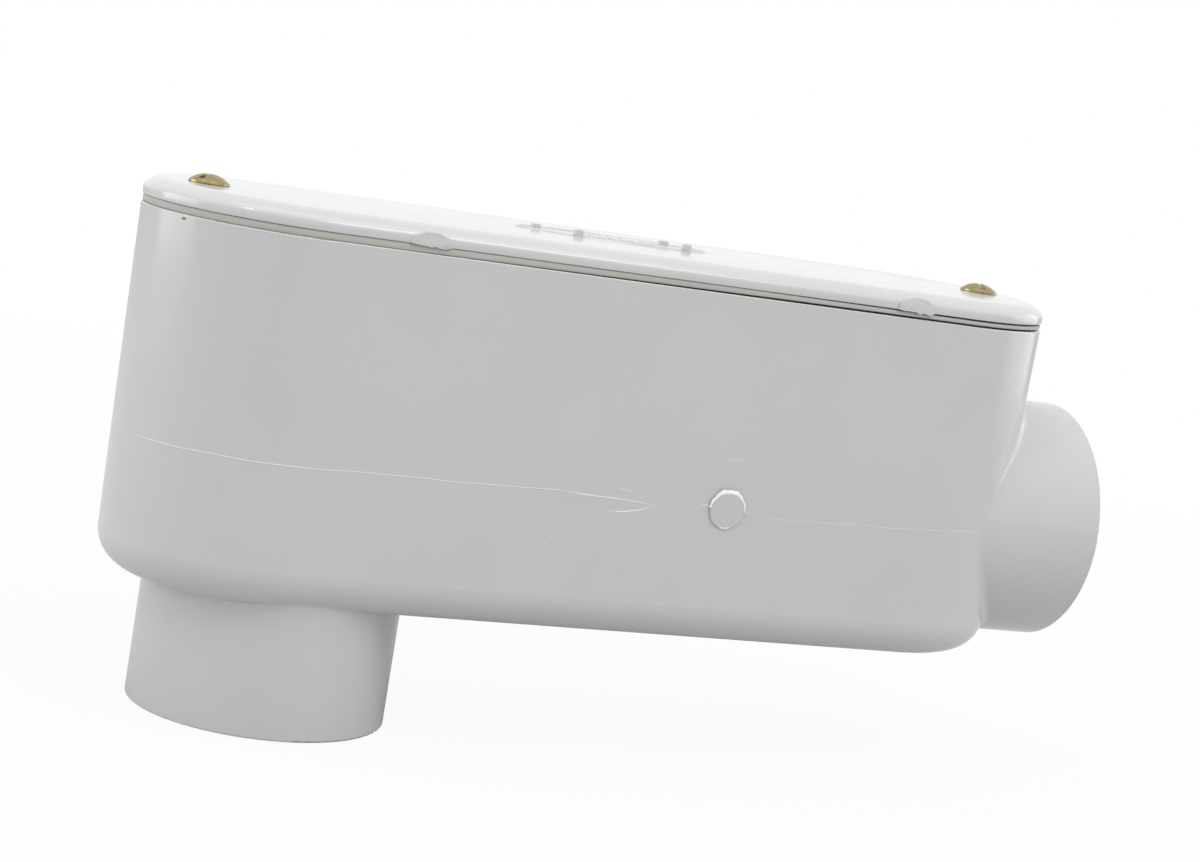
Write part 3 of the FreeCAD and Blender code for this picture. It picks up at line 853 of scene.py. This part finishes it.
wall_ridge("parting_line_back",
           [(-58.0, seam - 0.3), (-9.0, seam), (60.0, seam + 0.4), (66.0, seam + 0.3)],
           0.4, 0.05, pale_pvc)
wall_ridge("parting_line_middle", [(60.0, seam + 0.4), (75.0, seam), (87.4, seam - 0.7)],
           0.32, 0.05, white_pvc)
wall_ridge("parting_line_front",
           [(stub_x + 7, seam - 1.2), (131.0, seam - 1.6), (flat_end, seam - 0.5),
            (flat_end + 26, seam - 0.4)],
           0.22, 0.03, pale_pvc)
wall_ridge("flow_mark_upper", [(74.0, 75.0), (79.0, 74.2), (84.0, 72.5)], 0.5, 0.03, pale_pvc)
wall_ridge("flow_mark_lower", [(74.0, 68.2), (79.0, 68.4), (83.5, 69.3), (87.6, 70.9)],
           0.42, 0.06, white_pvc)
wall_ridge("gate_flash", [(107.4, 85.2), (110.2, 85.1)], 0.5, 0.07, white_pvc)
wall_ridge("sprue_tail_back", [(stub_x - 7.4, 72.3), (stub_x - 4.3, 72.0)],
           1.0, 0.2, white_pvc)
wall_ridge("sprue_tail_front", [(stub_x + 4.9, 71.2), (stub_x + 7.2, 71.1)],
           0.5, 0.1, white_pvc)
print("seam at mm", seam)

# %% [markdown]
# The sprue was taken off with side cutters, which squeeze the plastic into a whitened lip.
# Along the stub's upper edge that lip is drawn thick and white, and there it is also a painted
# highlight for the light from above on that edge; along the lower edge it is thin. Both are
# beads round the edge of the stub, thick in the middle and drawn out at their ends. They
# wander a little, because a torn edge is never a true circle.

# %% Lips of the trimmed sprue
bead_angles = [2 * math.pi * corner / 10 for corner in range(10)]


def sprue_lip(name, first, last, thick, flat):
    """A tapered bead round the stub's edge between two angles, in millimetres and degrees."""
    rows = []
    steps = 48
    for step in range(steps + 1):
        part = step / steps
        angle = math.radians(first + (last - first) * part)
        out = Vector((math.cos(angle), 0, math.sin(angle)))
        ring = (4.75 + 0.16 * math.sin(7 * angle) + 0.08 * math.sin(17 * angle)) * MM
        depth = -(39.42 + 0.28 * math.sin(angle)) * MM
        middle_of_bead = Vector((stub_centre.x, depth, stub_centre.z)) + out * ring
        size = thick * MM * (0.7 + 0.3 * part) * max(0.12, math.sin(math.pi * part)) ** 0.35
        rows.append([middle_of_bead + out * size * math.cos(a)
                     + Vector((0, -size * flat * math.sin(a), 0)) for a in bead_angles])
    points = [point for row in rows for point in row]
    count = len(bead_angles)
    ends = [tuple(range(count)), tuple(range(len(points) - count, len(points)))]
    mesh_piece(name, points, skin_rows(rows, True) + ends, white_pvc, "housing")


# The upper lip's thick white bead is whitened plastic, and also a painted highlight for the light
# from above.
sprue_lip("sprue_lip_upper_and_highlight", -4.0, 176.0, 1.1, 0.2)
sprue_lip("sprue_lip_lower", 215.0, 318.0, 0.3, 0.4)
print("sprue lips round x mm", round(stub_x, 1))

# %% [markdown]
# On the middle of the cover a low bead makes a long oval round a row of short raised bars.
# They are plain, and hold nothing to read. Both are profiles carried round a closed course,
# so that their edges stay as soft as a mould leaves them.


# %% Raised oval on the cover
def cover_bead(name, course, width, rise):
    """A low round-backed bead along a closed course of (point, outward) on the cover."""
    profile = [(-0.5, -0.05), (-0.36, 0.6), (-0.13, 1.0), (0.13, 1.0), (0.36, 0.6), (0.5, -0.05)]
    rows = [[p + out * width * across + Vector((0, 0, rise * up)) for p, out in course]
            for across, up in profile]
    points = [point for row in rows for point in row]
    mesh_piece(name, points, skin_rows(rows, True), cover_pvc, "cover")


oval_centre = Vector((82 * MM, 4.5 * MM, cover_top))
half_long, half_wide = 28, 9.5
oval_steps = 120
oval = []
for turn in range(oval_steps):
    angle = 2 * math.pi * turn / oval_steps
    cosine, sine = math.cos(angle), math.sin(angle)
    point = Vector((half_long * MM * cosine, half_wide * MM * sine, 0))
    out = Vector((cosine / half_long, sine / half_wide, 0)).normalized()
    oval.append((oval_centre + point, out))
cover_bead("cover_oval_bead", oval, 0.8 * MM, 0.35 * MM)
print("oval mm", 2 * half_long, 2 * half_wide)

# %% [markdown]
# The bars inside the oval are rounded at both ends, stand 0.4 mm high and lean in a little
# as they rise, so that the mould can let them go. One loop of points gives the plan, and
# three levels of it give the bar.

# %% Raised bars on the cover
bar_count, bar_gap, bar_steps = 9, 3.1 * MM, 16
bar_levels = ((-0.05 * MM, 0.3 * MM), (0.3 * MM, 0.12 * MM), (0.4 * MM, 0.0))
for bar in range(bar_count):
    x = 72.0 * MM + bar * bar_gap
    course = []
    for turn in range(bar_steps):
        angle = 2 * math.pi * turn / bar_steps
        sine = math.sin(angle)
        long_way = 2.2 * MM * math.copysign(1, sine) if abs(sine) > 0.1 else 0.0
        out = Vector((math.cos(angle), sine, 0))
        end = Vector((x, oval_centre.y - 2.4 * MM + long_way, cover_top))
        course.append((end + out * 0.3 * MM, out))
    rows = [[p + Vector((0, 0, level)) + out * spread for p, out in course]
            for level, spread in bar_levels]
    points = [point for row in rows for point in row]
    top = tuple(range(len(points) - bar_steps, len(points)))
    mesh_piece(f"cover_bar_{bar}", points, skin_rows(rows, True) + [top],
               cover_pvc, "cover")
print("bars", bar_count)

# %% [markdown]
# Just under the rim, near the back end, a fleck of burnt resin sits in the wall. It is a
# small ball pressed nearly flat, with a little noise in its outline, and turned to lie
# along the curve of the wall. A spot in the wall's own finish would be simpler, but this
# one stands a little proud, as a crumb of resin does.

# %% Fleck of burnt resin under the rim
half_length, half_width, half_height = 0.75, 0.3, 0.08
fleck_at = on_wall(-50.0 * MM, 127.4 * MM, 0.0)
fleck_out = Vector((fleck_at.x - back_centre, fleck_at.y, 0)).normalized()
turn_to_wall = fleck_out.to_track_quat("Z", "Y").to_matrix()
fleck_mesh = bmesh.new()
bmesh.ops.create_icosphere(fleck_mesh, subdivisions=3, radius=1.0)
for vertex in fleck_mesh.verts:
    at = vertex.co
    shape = Vector((at.x * half_length, at.y * half_width, at.z * half_height)) * MM
    shape *= 1 + 0.35 * noise.noise(vertex.co * 2.3)
    vertex.co = turn_to_wall @ shape + fleck_at
fleck_points = [vertex.co.copy() for vertex in fleck_mesh.verts]
fleck_faces = [tuple(vertex.index for vertex in face.verts) for face in fleck_mesh.faces]
fleck_mesh.free()
mesh_piece("burnt_fleck", fleck_points, fleck_faces, burnt_resin, "housing")
print("fleck faces", len(fleck_faces))
